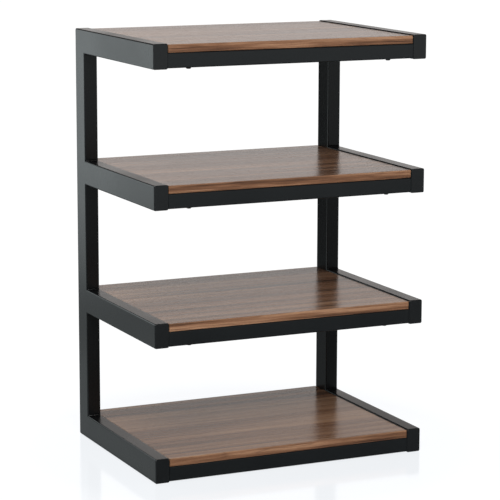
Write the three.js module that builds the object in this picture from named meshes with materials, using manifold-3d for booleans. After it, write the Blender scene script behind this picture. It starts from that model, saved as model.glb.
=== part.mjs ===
// Audio equipment rack: two side frames welded from 50 x 30 steel tube, each a rear upright with four
// arms, joined at every level by a front and a rear cross rail that carry a walnut shelf board.
// Millimetres, +Z up. The origin is on the floor under the middle of the rack, and the front faces -Y.
import * as THREE from "three";
import { mergeVertices } from "three/addons/utils/BufferGeometryUtils.js";
import Module from "manifold-3d";

const wasm = await Module();
wasm.setup();

// Overall sizes
const overallWidth = 600; // outside of one side frame to the outside of the other
const overallDepth = 430; // front of the end caps to the back of the uprights
const levelPitch = 275; // one shelf to the next
const levelCount = 4;

// Side frame tube
const tubeHeight = 50; // height of an arm, and depth of an upright
const tubeWidth = 30;
const tubeWall = 1.5;
const tubeCorner = 2.5; // outside corner of the section
const frameCorner = 4; // ground round where the top and bottom arms meet the upright
const mitreGap = 0.2; // across each welded joint

// Cross rails, which slide over spigots welded to the side frames
const railDepth = 30;
const railWall = 1.5;
const railCorner = 2.5;
const railLift = 1.8; // underside of the rail above the underside of the arms
const railEndGap = 0.5; // rail end to the side of the arm
const railSetback = 1; // rail face behind the end caps, and the same at the back
const spigotClearance = 0.3; // all round between spigot and rail
const spigotWall = 2;
const spigotTail = 20; // length of spigot past its screw
const weldSink = 0.5; // how far a spigot is let into the wall of its tube

// Shelf boards
const boardThickness = 16;
const boardDrop = 2; // board face below the top of the arms
const boardSideGap = 1.5;
const boardFrontSetback = 1;
const boardRearSetback = 2;
const boardSkin = 4; // board left above a pilot hole
const edgingThickness = 2;
const edgingRound = 1.5;
const glueLine = 0.1;

// Screws that hold rail, spigot and board together
const screwInset = 50; // screw to the side of the arm
const screwDiameter = 6;
const screwTipGap = 1; // tip of the screw below the top of its pilot hole
const screwTipChamfer = 0.8;
const headDiameter = 10.5;
const headHeight = 3.3;
const countersunkDiameter = 11.5;
const countersunkRim = 0.4;
const countersunkRecess = 0.2; // flat of the head above the underside of the rail
const socketWidth = 4; // across flats
const socketDepth = 2;
const holeClearance = 0.3; // round a screw where it passes through steel
const pilotClearance = 0.15; // round a screw in the board

// End caps of the arms
const capFlange = 2.5;
const capEdgeRound = 1.6;
const capPlugLength = 20;
const capPlugWall = 2;
const capFinHeight = 1.2;
const capFinThickness = 1.2;
const capFinPitch = 6;
const capClearance = 0.3;

// Gaps and facets
const seatGap = 0.2; // between pieces that rest on each other
const cutOverrun = 5; // how far a cutting solid runs past what it cuts
const weldTolerance = 0.0001; // vertices nearer than this are one
const roundSegments = 2; // half the facets in a quarter of a tube corner
const edgeSegments = 2; // facets in the round edge of an end cap
const turnedSegments = 12; // facets round a screw
const domeSegments = 2; // rings of facets in the crown of a button head
const capFinCount = 3;

// Values that follow from the sizes above
const overallHeight = tubeHeight + (levelCount - 1) * levelPitch;
const frontY = -overallDepth / 2;
const rearY = overallDepth / 2;
const uprightFrontY = rearY - tubeHeight;
const armFrontY = frontY + capFlange + seatGap;
const armFaceX = overallWidth / 2 - tubeWidth;
const railHeight = tubeHeight - railLift - seatGap - boardThickness - boardDrop;
const railLength = 2 * (armFaceX - railEndGap);
const screwX = armFaceX - screwInset;
const railRows = [
  { name: "front", y: frontY + railSetback + railDepth / 2 },
  { name: "rear", y: rearY - railSetback - railDepth / 2 },
];
const sides = [
  { name: "left", sign: -1 },
  { name: "right", sign: 1 },
];
const pilotDepth = boardThickness - boardSkin;
const screwRadius = screwDiameter / 2;
const holeRadius = screwRadius + holeClearance;
const countersunkRadius = countersunkDiameter / 2;

// Level 1 is the top shelf
const levels = Array.from({ length: levelCount }, (_, index) => {
  const armTop = overallHeight - index * levelPitch;
  const railBottom = armTop - tubeHeight + railLift;
  return {
    number: index + 1,
    armTop,
    armBottom: armTop - tubeHeight,
    railBottom,
    boardBottom: armTop - boardDrop - boardThickness,
    // the lowest rails clear the floor by less than a button head, so their screws are countersunk
    countersunk: index === levelCount - 1,
  };
});

// Finishes
const blackSteel = new THREE.MeshStandardMaterial({ color: 0x202325, roughness: 0.5, metalness: 0.3 });
const blackPlastic = new THREE.MeshStandardMaterial({ color: 0x1a1c1d, roughness: 0.6, metalness: 0 });
const walnutBoard = new THREE.MeshStandardMaterial({ color: 0x5c4335, roughness: 0.4, metalness: 0 });
const walnutEdging = new THREE.MeshStandardMaterial({ color: 0x80533a, roughness: 0.5, metalness: 0 });
const blackScrew = new THREE.MeshStandardMaterial({ color: 0x161718, roughness: 0.4, metalness: 0.6 });

// A closed three.js geometry as a solid that can be cut and joined
function solidOf(geometry) {
  const bare = geometry.index ? geometry.toNonIndexed() : geometry.clone();
  bare.deleteAttribute("normal");
  bare.deleteAttribute("uv");
  const merged = mergeVertices(bare, weldTolerance);
  return new wasm.Manifold(
    new wasm.Mesh({
      numProp: 3,
      vertProperties: merged.attributes.position.array,
      triVerts: new Uint32Array(merged.index.array),
    }),
  );
}

// A solid back as a three.js geometry
function geometryOf(solid) {
  const mesh = solid.getMesh();
  return new THREE.BufferGeometry()
    .setAttribute("position", new THREE.BufferAttribute(mesh.vertProperties, mesh.numProp))
    .setIndex(new THREE.BufferAttribute(mesh.triVerts, 1))
    .toNonIndexed();
}

// A block between two values on each axis
function block(x, y, z) {
  const geometry = new THREE.BoxGeometry(x[1] - x[0], y[1] - y[0], z[1] - z[0]);
  return geometry.translate((x[0] + x[1]) / 2, (y[0] + y[1]) / 2, (z[0] + z[1]) / 2);
}

// A rectangle with round corners, centred on the origin, drawn on a Shape or a Path
function roundedRectangle(path, width, height, radius) {
  const x = width / 2 - radius;
  const y = height / 2 - radius;
  path.absarc(x, -y, radius, -Math.PI / 2, 0);
  path.absarc(x, y, radius, 0, Math.PI / 2);
  path.absarc(-x, y, radius, Math.PI / 2, Math.PI);
  path.absarc(-x, -y, radius, Math.PI, (3 * Math.PI) / 2);
  path.closePath();
  return path;
}

// A rectangle with its corners cut off, for bores and hidden parts
function cutRectangle(path, width, height, corner) {
  const x = width / 2;
  const y = height / 2;
  path.moveTo(x - corner, -y);
  path.lineTo(x, corner - y);
  path.lineTo(x, y - corner);
  path.lineTo(x - corner, y);
  path.lineTo(corner - x, y);
  path.lineTo(-x, y - corner);
  path.lineTo(-x, corner - y);
  path.lineTo(corner - x, -y);
  path.closePath();
  return path;
}

// Inside corner of a tube
function boreCorner(corner, wall) {
  return Math.max(corner - wall, wall / 4);
}

// The section of a rectangular tube
function tubeSection(width, height, wall, corner) {
  const section = roundedRectangle(new THREE.Shape(), width, height, corner);
  const inside = boreCorner(corner, wall);
  section.holes.push(cutRectangle(new THREE.Path(), width - 2 * wall, height - 2 * wall, inside));
  return section;
}

// Extrudes a shape drawn in Y and Z along X, from x = 0
function alongX(shape, length, options = {}) {
  const geometry = new THREE.ExtrudeGeometry(shape, {
    depth: length,
    bevelEnabled: false,
    curveSegments: roundSegments,
    ...options,
  });
  const turn = new THREE.Matrix4().makeBasis(
    new THREE.Vector3(0, 1, 0),
    new THREE.Vector3(0, 0, 1),
    new THREE.Vector3(1, 0, 0),
  );
  return geometry.applyMatrix4(turn);
}

// Turns a profile of [radius, height] points round the Z axis
function turned(profile) {
  const points = profile.map(([radius, height]) => new THREE.Vector2(radius, height));
  return new THREE.LatheGeometry(points, turnedSegments).rotateX(Math.PI / 2);
}

// A round hole cutter along Z
function drill(radius, fromZ, toZ) {
  return turned([
    [0, fromZ],
    [radius, fromZ],
    [radius, toZ],
    [0, toZ],
  ]);
}

// The cut of a 90 degree countersink that opens downwards at z = 0
function countersink() {
  const mouth = countersunkRadius + holeClearance;
  return turned([
    [0, -cutOverrun],
    [mouth, -cutOverrun],
    [mouth, countersunkRecess + countersunkRim],
    [holeRadius, countersunkRecess + countersunkRim + mouth - holeRadius],
    [0, countersunkRecess + countersunkRim + mouth - holeRadius],
  ]);
}

// Extrudes a shape drawn in X and Z along Y, from y = 0
function alongY(shape, length) {
  const geometry = new THREE.ExtrudeGeometry(shape, {
    depth: length,
    bevelEnabled: false,
    curveSegments: roundSegments,
  });
  return geometry.rotateX(Math.PI / 2).translate(0, length, 0);
}

// Side view of a side frame with its two rear corners ground round. The front is left long, because the
// arms are cut square.
function groundOutline() {
  const depth = overallDepth + 2 * cutOverrun;
  const outline = roundedRectangle(new THREE.Shape(), depth, overallHeight, frameCorner);
  const prism = alongX(outline, 2 * tubeWidth);
  return solidOf(prism.translate(-tubeWidth, rearY - depth / 2, overallHeight / 2));
}

// Cuts a tube at 45 degrees where the top or bottom arm meets the upright. rise is 1 at the top of the
// frame and -1 at the bottom, and side is 1 for the arm and -1 for the upright.
function mitre(solid, rise, side) {
  const cornerZ = rise > 0 ? overallHeight : 0;
  const normal = [0, -side * Math.SQRT1_2, side * rise * Math.SQRT1_2];
  const offset = normal[1] * rearY + normal[2] * cornerZ;
  return solid.trimByPlane(normal, offset + mitreGap / 2);
}

// The space of a mitred arm inside the frame, which the roots of the spigots stay out of
function mitredArmSpace(rise) {
  const cornerZ = rise > 0 ? overallHeight : 0;
  const wedge = new THREE.Shape();
  const shift = (mitreGap / 2) * Math.SQRT2;
  wedge.moveTo(rearY + cutOverrun + shift, cornerZ + rise * cutOverrun);
  wedge.lineTo(uprightFrontY - cutOverrun + shift, cornerZ - rise * (tubeHeight + cutOverrun));
  wedge.lineTo(uprightFrontY - cutOverrun + shift, cornerZ + rise * cutOverrun);
  wedge.closePath();
  return solidOf(alongX(wedge, tubeWidth).translate(-tubeWidth / 2, 0, 0));
}

// One spigot, from the side of the tube towards the middle of the rack, with its screw hole
function spigot(sign, row, level) {
  const width = railDepth - 2 * (railWall + spigotClearance);
  const height = railHeight - 2 * (railWall + spigotClearance);
  const corner = boreCorner(railCorner, railWall);
  const length = screwInset + spigotTail;
  const middleZ = level.railBottom + railHeight / 2;
  const section = cutRectangle(new THREE.Shape(), width, height, corner);
  const bore = new THREE.Path();
  section.holes.push(cutRectangle(bore, width - 2 * spigotWall, height - 2 * spigotWall, corner / 2));
  const bar = alongX(section, length + weldSink);
  const start = sign < 0 ? tubeWidth / 2 - weldSink : -tubeWidth / 2 - length;
  let solid = solidOf(bar.translate(start, row.y, middleZ));
  const holeX = sign < 0 ? tubeWidth / 2 + screwInset : -tubeWidth / 2 - screwInset;
  const hole = drill(holeRadius, level.railBottom - cutOverrun, level.railBottom + railHeight + cutOverrun);
  solid = solid.subtract(solidOf(hole.translate(holeX, row.y, 0)));
  if (level.countersunk) {
    solid = solid.subtract(solidOf(countersink().translate(holeX, row.y, level.railBottom)));
  }
  return solid;
}

// Rear upright of a side frame, centred across its tube, with a spigot for every rear rail. sign is -1
// on the left and 1 on the right.
function rearUpright(sign) {
  const section = tubeSection(tubeWidth, tubeHeight, tubeWall, tubeCorner);
  const tube = new THREE.ExtrudeGeometry(section, {
    depth: overallHeight,
    bevelEnabled: false,
    curveSegments: roundSegments,
  });
  let solid = solidOf(tube.translate(0, rearY - tubeHeight / 2, 0));
  solid = mitre(solid, 1, -1);
  solid = mitre(solid, -1, -1);
  solid = solid.intersect(groundOutline());
  for (const level of levels) solid = solid.add(spigot(sign, railRows[1], level));
  return geometryOf(solid.subtract(mitredArmSpace(1)).subtract(mitredArmSpace(-1)));
}

// Arm of a side frame, centred across its tube, with the spigot for its front rail. The top and bottom
// arms are mitred to the upright, and the others are coped to its front face.
function arm(sign, level) {
  const section = tubeSection(tubeWidth, tubeHeight, tubeWall, tubeCorner);
  const middleZ = (level.armTop + level.armBottom) / 2;
  const tube = alongY(section, overallDepth + cutOverrun);
  let solid = solidOf(tube.translate(0, frontY - cutOverrun, middleZ));
  if (level.number === 1) {
    solid = mitre(solid, 1, 1).intersect(groundOutline());
  } else if (level.number === levelCount) {
    solid = mitre(solid, -1, 1).intersect(groundOutline());
  } else {
    const width = tubeWidth + 2 * mitreGap;
    const depth = tubeHeight + 2 * mitreGap;
    const upright = new THREE.ExtrudeGeometry(
      roundedRectangle(new THREE.Shape(), width, depth, tubeCorner + mitreGap),
      { depth: overallHeight, bevelEnabled: false, curveSegments: roundSegments },
    );
    solid = solid.subtract(solidOf(upright.translate(0, rearY - tubeHeight / 2, 0)));
    solid = solid.trimByPlane([0, -1, 0], -(uprightFrontY + tubeHeight / 2));
  }
  solid = solid.add(spigot(sign, railRows[0], level));
  const reach = tubeWidth / 2;
  const squareEnd = block(
    [-reach, reach],
    [frontY - 2 * cutOverrun, armFrontY],
    [level.armBottom - cutOverrun, level.armTop + cutOverrun],
  );
  return geometryOf(solid.subtract(solidOf(squareEnd)));
}

// A cross rail, centred on its length, with its underside at z = 0
function crossRail(level) {
  const section = tubeSection(railDepth, railHeight, railWall, railCorner);
  let solid = solidOf(alongX(section, railLength).translate(-railLength / 2, 0, railHeight / 2));
  for (const side of sides) {
    const x = side.sign * screwX;
    const hole = drill(holeRadius, -cutOverrun, railHeight + cutOverrun).translate(x, 0, 0);
    solid = solid.subtract(solidOf(hole));
    if (level.countersunk) solid = solid.subtract(solidOf(countersink().translate(x, 0, 0)));
  }
  return geometryOf(solid);
}

// Shelf board, centred on x, from its front edging to the back, with its underside at z = 0
const boardWidth = 2 * (armFaceX - boardSideGap);
const boardFrontY = frontY + boardFrontSetback + edgingThickness + glueLine;
const boardRearY = rearY - boardRearSetback;
function shelfBoard() {
  const halfWidth = boardWidth / 2;
  let solid = solidOf(block([-halfWidth, halfWidth], [boardFrontY, boardRearY], [0, boardThickness]));
  for (const side of sides) {
    for (const row of railRows) {
      const pilot = drill(screwRadius + pilotClearance, -cutOverrun, pilotDepth);
      solid = solid.subtract(solidOf(pilot.translate(side.sign * screwX, row.y, 0)));
    }
  }
  return geometryOf(solid);
}

// Front edging of a board: a strip whose two outer corners are round
function frontEdging() {
  const front = frontY + boardFrontSetback;
  const back = front + edgingThickness;
  const strip = new THREE.Shape();
  strip.moveTo(back, 0);
  strip.lineTo(back, boardThickness);
  strip.absarc(front + edgingRound, boardThickness - edgingRound, edgingRound, Math.PI / 2, Math.PI);
  strip.absarc(front + edgingRound, edgingRound, edgingRound, Math.PI, (3 * Math.PI) / 2);
  strip.closePath();
  return alongX(strip, boardWidth).translate(-boardWidth / 2, 0, 0);
}

// Push-in end cap of an arm: a flange with a round front edge and a hollow plug with fins. The flange's
// front is at y = 0 and the middle of the tube at x = z = 0.
function endCap() {
  const flangeShape = roundedRectangle(new THREE.Shape(), tubeWidth, tubeHeight, tubeCorner);
  const flange = new THREE.ExtrudeGeometry(flangeShape, {
    depth: capFlange,
    bevelEnabled: true,
    bevelThickness: capEdgeRound,
    bevelSize: capEdgeRound,
    bevelOffset: -capEdgeRound,
    bevelSegments: edgeSegments,
    curveSegments: roundSegments,
  })
    .rotateX(Math.PI / 2)
    .translate(0, capFlange + capEdgeRound, 0);
  const back = capFlange + cutOverrun;
  const reachX = tubeWidth / 2 + cutOverrun;
  const reachZ = tubeHeight / 2 + cutOverrun;
  const behind = block([-reachX, reachX], [capFlange, back], [-reachZ, reachZ]);
  let solid = solidOf(flange).subtract(solidOf(behind));
  const finX = tubeWidth / 2 - tubeWall - capClearance;
  const finZ = tubeHeight / 2 - tubeWall - capClearance;
  const plugX = finX - capFinHeight;
  const plugZ = finZ - capFinHeight;
  const corner = boreCorner(tubeCorner, tubeWall);
  const plugStart = capFlange - weldSink;
  const plugShape = cutRectangle(new THREE.Shape(), 2 * plugX, 2 * plugZ, corner);
  const plug = alongY(plugShape, capPlugLength + weldSink);
  solid = solid.add(solidOf(plug.translate(0, plugStart, 0)));
  const finShape = cutRectangle(new THREE.Shape(), 2 * finX, 2 * finZ, corner);
  for (let fin = 1; fin <= capFinCount; fin += 1) {
    const plate = alongY(finShape, capFinThickness);
    solid = solid.add(solidOf(plate.translate(0, capFlange + (fin - 1 / 2) * capFinPitch, 0)));
  }
  const boreX = plugX - capPlugWall;
  const boreZ = plugZ - capPlugWall;
  const plugEnd = capFlange + capPlugLength;
  const bore = block([-boreX, boreX], [capFlange, plugEnd + cutOverrun], [-boreZ, boreZ]);
  return geometryOf(solid.subtract(solidOf(bore)));
}

// Length of a screw from the underside of its rail to its tip
const screwReach = railHeight + seatGap + pilotDepth - screwTipGap;
const socketRadius = socketWidth / Math.sqrt(3); // centre of the hexagon to a corner

// Hexagon socket cutter that opens downwards at z = 0
function hexagonSocket() {
  const height = socketDepth + cutOverrun;
  const prism = new THREE.CylinderGeometry(socketRadius, socketRadius, height, 6);
  return prism.rotateX(Math.PI / 2).translate(0, 0, socketDepth - height / 2);
}

// Button head screw, pointing up, with the seat of its head just under z = 0
function buttonScrew() {
  const top = -seatGap;
  const bottom = top - headHeight;
  const crown = socketRadius + holeClearance;
  const headRadius = headDiameter / 2;
  const dome = Array.from({ length: domeSegments + 1 }, (_, ring) => {
    const angle = ((ring / domeSegments) * Math.PI) / 2;
    const radius = crown + (headRadius - crown) * Math.sin(angle);
    return [radius, top - headHeight * Math.cos(angle)];
  });
  const body = turned([
    [0, bottom],
    ...dome,
    [screwRadius, top],
    [screwRadius, screwReach - screwTipChamfer],
    [screwRadius - screwTipChamfer, screwReach],
    [0, screwReach],
  ]);
  return geometryOf(solidOf(body).subtract(solidOf(hexagonSocket().translate(0, 0, bottom))));
}

// Countersunk screw, pointing up, with its flat face just inside the underside of the rail at z = 0
function countersunkScrew() {
  const bottom = countersunkRecess;
  const body = turned([
    [0, bottom],
    [countersunkRadius, bottom],
    [countersunkRadius, bottom + countersunkRim],
    [screwRadius, bottom + countersunkRim + countersunkRadius - screwRadius],
    [screwRadius, screwReach - screwTipChamfer],
    [screwRadius - screwTipChamfer, screwReach],
    [0, screwReach],
  ]);
  return geometryOf(solidOf(body).subtract(solidOf(hexagonSocket().translate(0, 0, bottom))));
}

const rack = new THREE.Group();

function place(parent, name, geometry, material, x, y, z) {
  const mesh = new THREE.Mesh(geometry, material);
  mesh.name = name;
  mesh.position.set(x, y, z);
  parent.add(mesh);
  return mesh;
}

// Side frames and their end caps
for (const side of sides) {
  const middleX = side.sign * (overallWidth / 2 - tubeWidth / 2);
  const frame = new THREE.Group();
  rack.add(frame);
  place(frame, `upright_${side.name}`, rearUpright(side.sign), blackSteel, middleX, 0, 0);
  for (const level of levels) {
    const tail = `${side.name}_${level.number}`;
    const middleZ = (level.armTop + level.armBottom) / 2;
    place(frame, `arm_${tail}`, arm(side.sign, level), blackSteel, middleX, 0, 0);
    place(frame, `end_cap_${tail}`, endCap(), blackPlastic, middleX, frontY, middleZ);
  }
}

// Each level has a board with its edging, two rails, and the screws that join them
for (const level of levels) {
  const shelf = new THREE.Group();
  rack.add(shelf);
  place(shelf, `shelf_board_${level.number}`, shelfBoard(), walnutBoard, 0, 0, level.boardBottom);
  place(shelf, `front_edging_${level.number}`, frontEdging(), walnutEdging, 0, 0, level.boardBottom);
  for (const row of railRows) {
    const rail = crossRail(level);
    place(shelf, `${row.name}_rail_${level.number}`, rail, blackSteel, 0, row.y, level.railBottom);
    for (const side of sides) {
      const name = `screw_${row.name}_${side.name}_${level.number}`;
      const screw = level.countersunk ? countersunkScrew() : buttonScrew();
      place(shelf, name, screw, blackScrew, side.sign * screwX, row.y, level.railBottom);
    }
  }
}

export default rack;
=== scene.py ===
"""Audio equipment rack: two welded black side frames, four walnut shelves, cross rails, end caps and screws.

Metres, +Z up, the open front faces -Y. Every new piece is a grid of points worked out with numpy, in the
place of the CAD nodes that it stands for.
"""
import math

import bmesh
import bpy
import numpy as np
from mathutils import Matrix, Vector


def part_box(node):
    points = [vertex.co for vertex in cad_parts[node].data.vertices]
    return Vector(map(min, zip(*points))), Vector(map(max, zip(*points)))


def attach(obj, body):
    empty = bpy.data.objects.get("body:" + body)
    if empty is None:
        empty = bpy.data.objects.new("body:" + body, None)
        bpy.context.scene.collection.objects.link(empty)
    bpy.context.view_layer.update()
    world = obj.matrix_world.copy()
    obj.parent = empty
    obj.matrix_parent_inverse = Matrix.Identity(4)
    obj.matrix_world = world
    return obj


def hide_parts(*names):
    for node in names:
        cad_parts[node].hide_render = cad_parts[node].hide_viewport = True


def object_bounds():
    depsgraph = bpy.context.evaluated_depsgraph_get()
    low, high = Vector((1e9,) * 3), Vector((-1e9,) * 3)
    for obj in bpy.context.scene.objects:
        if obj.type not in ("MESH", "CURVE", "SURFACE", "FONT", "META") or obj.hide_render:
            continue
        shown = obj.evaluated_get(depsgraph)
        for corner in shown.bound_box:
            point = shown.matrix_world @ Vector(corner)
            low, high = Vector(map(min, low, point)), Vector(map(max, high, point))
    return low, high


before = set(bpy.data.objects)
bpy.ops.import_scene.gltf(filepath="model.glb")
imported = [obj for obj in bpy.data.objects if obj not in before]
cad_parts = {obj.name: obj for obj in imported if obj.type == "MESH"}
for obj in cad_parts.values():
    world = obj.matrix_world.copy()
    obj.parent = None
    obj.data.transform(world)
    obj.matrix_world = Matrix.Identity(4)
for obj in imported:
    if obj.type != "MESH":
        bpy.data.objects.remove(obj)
cad_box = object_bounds()

MM = 0.001
FULL_TURN = 2 * math.pi
QUARTER_TURN = math.pi / 2
SIDES = {"left": -1, "right": 1}
ROWS = ("front", "rear")
LEVELS = (1, 2, 3, 4)
LOWEST_LEVEL = LEVELS[-1]

# Rounding
EDGE_STEPS = 6  # facets in a round edge that shows
CORNER_STEPS = 5  # facets in a corner of a rounded rectangle
SHARP_ANGLE = math.radians(40)  # a bend of more than this stays sharp

# Side frame tube
TUBE_CORNER = 3 * MM  # round edge of the tube
FRAME_CORNER = 4 * MM  # ground round at the two rear corners of a side frame
CAP_SEAT = 0.2 * MM  # gap between the end of an arm and its cap

# Spigots
SPIGOT_LENGTH = 70 * MM
SPIGOT_HALF = 13.2 * MM
SPIGOT_WALL = 2 * MM
SPIGOT_CORNER = 1 * MM
SPIGOT_STEPS = 3
SPIGOT_BEVEL = 0.5 * MM  # at the open end
SPIGOT_SINK = 1 * MM  # how deep a spigot starts inside its tube

# Weld beads
WELD_LEG = 3.2 * MM
WELD_BULGE = 0.22  # extra reach halfway round, as a share of the leg
WELD_RIPPLE = 1.7 * MM  # length of one ripple
WELD_RIPPLE_RISE = 0.05  # share by which a ripple swells the bead
WELD_ROUGH_RISE = 0.03  # the same for a finer unevenness
WELD_ROUGH_TURN = 41  # radians of that unevenness to one leg
WELD_ROUGH_SHIFT = 90  # radians of it to a metre of height, so that the beads differ
WELD_LAG = 0.105  # how far a ripple bows along the bead, as a share of the leg
WELD_TAPER_POWER = 6
WELD_TAPER_TOP = 1.02  # over 1, so that the ends keep some of their reach
WELD_RINGS = 61
WELD_STEPS = 8
WELD_INSET = 1 * MM  # end of a bead to the side of the tube
WELD_SINK = 0.5 * MM  # how far a bead's root lies inside the tubes

# Cross rails
RAIL_CORNER = 2.4 * MM
RAIL_WALL = 1.5 * MM
RAIL_END_ROUND = 0.3 * MM

# Boards and their edge bands
BOARD_EDGE = 0.5 * MM  # round edge at the top and the bottom
BOARD_EDGE_STEPS = 3
BOARD_CORNER = 0.8 * MM
EDGING_ROUND = 1.5 * MM  # the two front edges of a band
EDGING_END_ROUND = 0.4 * MM
EDGING_END_STEPS = 3

# End caps
CAP_FLANGE = 2.5 * MM
CAP_ROUND = 1.7 * MM  # round front edge
CAP_LEAST_CORNER = 0.6 * MM  # corner radius where the front edge has turned in
CAP_BEVEL = 0.2 * MM  # at the back of the flange
CAP_PLUG_HALF_X = 12 * MM
CAP_PLUG_HALF_Z = 22 * MM
CAP_PLUG_CORNER = 1 * MM
CAP_FIN = 1.2 * MM  # height and thickness of a fin
CAP_WALL = 2 * MM
CAP_FINS = 3
CAP_FIN_PITCH = 6 * MM

# Screws
HEAD_RADIUS = 5.25 * MM
HEAD_HEIGHT = 3.3 * MM
DOME_STEPS = 8
DOME_POWER = 0.8  # under 1 the crown is fuller than an ellipse
SHANK_RADIUS = 3 * MM
TIP_CHAMFER = 0.8 * MM
SOCKET_FLAT = 2 * MM  # centre to a flat
SOCKET_DEPTH = 2 * MM
SOCKET_POINT = 0.2 * SOCKET_FLAT  # centre to a flat at the deepest ring
SOCKET_SHOULDER = 0.85 * SOCKET_DEPTH  # depth at which the flats end
CROWN_RADIUS = 1.3 * SOCKET_FLAT  # flat of the head round its socket
SINK_RADIUS = 5.75 * MM
SINK_RIM = 0.4 * MM
EDGE_BREAK = 0.15 * MM
TURNED_SEGMENTS = 48

# Countersink in the lowest rails
HOLE_CLEARANCE = 0.3 * MM  # round the screw
HOLE_DEPTH = 6 * MM  # reach of the cut, past the wall of the rail
CUT_OVERRUN = 1 * MM  # below the underside

# Powder coat. The scales are noise cells to the metre.
DRIFT_SCALE = (5, 5, 5)
PEEL_SCALE = (620, 620, 620)
GRIT_SCALE = (2300, 2300, 2300)
SPECK_SCALE = (430, 430, 430)
SPECK_PEAKS = (0.74, 0.8)
SPECK_SHARE = 0.05
DRIFT_TONE = (0.3, 0.7, 0.85, 1.2)
DRIFT_GLOSS = (0.3, 0.7, -0.03, 0.05)
GRIT_GLOSS = (0.3, 0.7, -0.03, 0.03)
PEEL_SHARE = 0.7
GRIT_SHARE = 0.3
PEEL_DEPTH = 0.1 * MM
COAT_EDGE_HIGHLIGHT_TONE = 0.03  # how far a round edge is paled towards grey, a painted highlight
COAT_EDGE_GLOSS = 0.12  # how much smoother it is
# grey that round edges are paled towards: a painted highlight
EDGE_HIGHLIGHT_GREY = (0.16, 0.17, 0.18, 1)
DUST = (0.35, 0.35, 0.34, 1)

# Walnut. The scales are noise cells to the metre along the grain, across it and into the log.
SWAY_SCALE = (1.6, 4, 2)
SWAY_REACH = 0.010
BAND_SCALE = (0.45, 15, 3)
STREAK_SCALE = (1.1, 48, 3)
LINE_SCALE = (3.5, 270, 3)
GROWTH_SCALE = (0.5, 13, 5)
PORE_SCALE = (60, 1300, 40)
BAND_SHARE = 0.40
STREAK_SHARE = 0.34
LINE_SHARE = 0.26
DARK_TO_MIDDLE = (0.40, 0.5)
MIDDLE_TO_LIGHT = (0.5, 0.61)
GROWTH_TURNS = 8.0
GROWTH_LINE = (0.0, 0.11, 1.0, 0.0)
GROWTH_BY_BAND = (0.35, 0.65, 0.15, 1.0)  # growth lines show more in the light bands
PORE_PEAKS = (0.58, 0.68)
WOOD_EDGE_HIGHLIGHT_TONE = 0.45  # how far a marked edge is paled to the light tone, a painted highlight
LINE_GLOSS = (0.3, 0.7, -0.03, 0.04)
PORE_GLOSS = 0.12
LINE_HEIGHT = 0.4
PORE_HEIGHT = 0.6
GRAIN_DEPTH = 0.12 * MM
GRAIN_BUMP = 0.25

# Floor
FLOOR_REACH = 40.0
FLOOR_LEVEL = -0.2 * MM  # just under the frame, so that the two don't share a plane
FLOOR_COLOUR = (0.56, 0.60, 0.64, 1)
FLOOR_ROUGHNESS = 0.13
FLOOR_COAT_ROUGHNESS = 0.10
WHITE = (1, 1, 1, 1)
# faint blue of the floor's white light near the rack: it paints the shadow and reflection there bluish
SHADE_BLUE_NEAR_RACK = (0.955, 0.975, 1, 1)
FADE_START = 0.45  # distance from the middle of the rack at which the floor starts to turn white
FADE_END = 1.1
FLOOR_WHITE_STRENGTH = (1.47, 1.04)  # of the white light, near the rack and away from it
FLOOR_WHITE_SHARE = (0.55, 1.0)  # of that white in what the camera sees, near the rack and away from it
FLOOR_BOUNCE = 0.15  # share of plain white in the light that the floor gives back to the rack

# The floor that the pieces mirror. A fade is (start, end, value before it, value after it), in metres.
MIRROR_COLOUR = (0.90, 0.985, 1, 1)
BESIDE_EDGE = (-0.31, -0.29, 0.39, 0.0)
BESIDE_BACK = (0.9, 1.3, 1.0, 0.0)
BESIDE_FRONT = (-0.5, -0.2, 0.0, 1.0)
RIGHT_EDGE = (0.29, 0.31, 0.0, 0.34)
RIGHT_SLOPE = 0.9
RIGHT_FRONT = (0.3, 0.6, 0.0, 1.0)
LEFT_SLOPE = 0.3
LEFT_EDGE = (-0.8, -0.5, 0.45, 0.0)
LEFT_TURN = 0.7
LEFT_BACK = (-0.1, 0.2, 1.0, 0.0)
AHEAD_DEPTH = (-8.5, -2.5, 0.75, 0.16)
AHEAD_EDGE = (-0.31, -0.27, 0.35, 1.0)

# Side panel
PANEL_LEFT = -1.7
PANEL_RIGHT = -0.42
PANEL_DEPTH = 1.0  # how far it stands behind the middle of the rack
PANEL_BOTTOM = 0.01
PANEL_TOP = 0.98
PANEL_GLOW = (0.1, 0.5, 0.36, 1.25)

# Studio. A fade is written as on the floor, and runs over the Y, Z or X of a direction.
STUDIO_DEPTH = (-0.5, 0.6, 0.55, 1.0)
STUDIO_CEILING = (0.28, 0.37, 0.89, 0.08)
STUDIO_HORIZON = (0.13, 0.21, 1.0, 0.82)
STUDIO_SIDE = (-0.05, 0.12, 0.15, 1.0)
STUDIO_SOFT = (0.1, 0.6, 0.9, 0.15)
STUDIO_SOFT_COLOUR = (0.97, 0.985, 1.0, 1)
STUDIO_GLOSS_COLOUR = (1.0, 0.955, 0.93, 1)
SOFTBOX_AIM = (0, 0, 0.4)

# Camera
CAMERA_PLACE = (-1.8976, -4.0937, 1.2345)
CAMERA_YAW = math.radians(24.931)
CAMERA_PITCH = math.radians(10.281)
CAMERA_ROLL = math.radians(0.146)
FOCAL_PIXELS = 2184.0
PHOTO_PIXELS = 500
SENSOR_WIDTH = 36
CLIP_END = 100


# Meshes

def in_scene(name, data):
    """A new object at the origin, unturned and unscaled, linked to the scene."""
    obj = bpy.data.objects.new(name, data)
    bpy.context.scene.collection.objects.link(obj)
    return obj


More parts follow.
